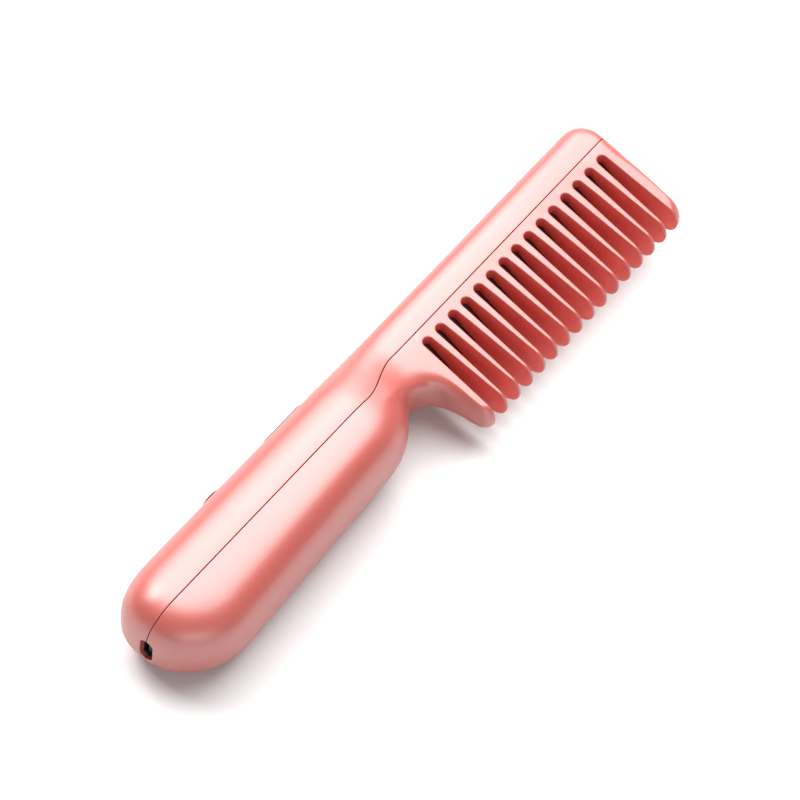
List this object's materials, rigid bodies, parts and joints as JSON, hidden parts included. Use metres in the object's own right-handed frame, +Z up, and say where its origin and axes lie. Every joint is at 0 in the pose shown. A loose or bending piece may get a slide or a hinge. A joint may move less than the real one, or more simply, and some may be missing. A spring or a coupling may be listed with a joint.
{
  "type": "cordless hot comb",
  "caption": "Cordless heated styling comb: rounded handle with a power button, display window and charging port, and a slotted comb head over a heated bar.",
  "frame": {"origin": "middle of the footprint, on the surface the comb rests on when it lies on its side", "axes": "+X along the comb from the charging end to the nose, +Y across it from the tooth tips to the back with the button, +Z up through the thickness"},
  "size_m": [0.181, 0.038, 0.0264],
  "materials": {
    "back_shell": "satin rose-pink lacquer with a fine pearl",
    "comb_shell": "satin rose-pink lacquer with a fine pearl, deeper red between the teeth",
    "control_panel": "satin darker rose plastic",
    "display_window": "glossy smoked acrylic",
    "power_button": "satin dark red plastic",
    "switch_stem": "moulded black plastic",
    "tact_switch": "stamped steel cover",
    "display_module": "moulded white housing",
    "control_board": "green solder mask",
    "controller_chip": "moulded black package",
    "power_transistors": "moulded black package",
    "charge_board": "green solder mask",
    "socket_shell": "drawn nickel-plated steel",
    "socket_tongue": "moulded black plastic",
    "battery_cell": "metal can in a heat-shrunk sleeve",
    "battery_pads": "closed-cell foam",
    "battery_tab_rear": "nickel strip",
    "battery_tab_front": "nickel strip",
    "battery_wire_rear": "silicone insulation",
    "battery_wire_front": "silicone insulation",
    "heater_bar": "black non-stick coating on aluminium",
    "heater_ceramic": "fired ceramic heating strip",
    "heater_film": "amber insulating film",
    "heater_carrier": "heat-resistant moulding",
    "temperature_sensor": "epoxy bead",
    "thermal_fuse": "ceramic body",
    "heater_wires": "glass-fibre sleeving",
    "board_screws": "zinc-plated steel",
    "carrier_screws": "zinc-plated steel"
  },
  "bodies": {
    "comb": {"back_shell": "back_shell", "comb_shell": "comb_shell", "control_panel": "control_panel", "display_window": "display_window", "tact_switch": "tact_switch", "display_module": "display_module", "control_board": "control_board", "controller_chip": "controller_chip", "power_transistors": "power_transistors", "charge_board": "charge_board", "socket_shell": "socket_shell", "socket_tongue": "socket_tongue", "battery_cell": "battery_cell", "battery_pads": "battery_pads", "battery_tab_rear": "battery_tab_rear", "battery_tab_front": "battery_tab_front", "battery_wire_rear": "battery_wire_rear", "battery_wire_front": "battery_wire_front", "heater_bar": "heater_bar", "heater_ceramic": "heater_ceramic", "heater_film": "heater_film", "heater_carrier": "heater_carrier", "temperature_sensor": "temperature_sensor", "thermal_fuse": "thermal_fuse", "heater_wires": "heater_wires", "board_screws": "board_screws", "carrier_screws": "carrier_screws"},
    "button": {"power_button": "power_button", "switch_stem": "switch_stem"}
  },
  "joints": [
    {"name": "power_press", "type": "slide", "parent": "comb", "child": "button", "axis": [0, -1, 0], "range_m": [0, 0.0004], "stiffness_N_per_m": 2500}
  ]
}
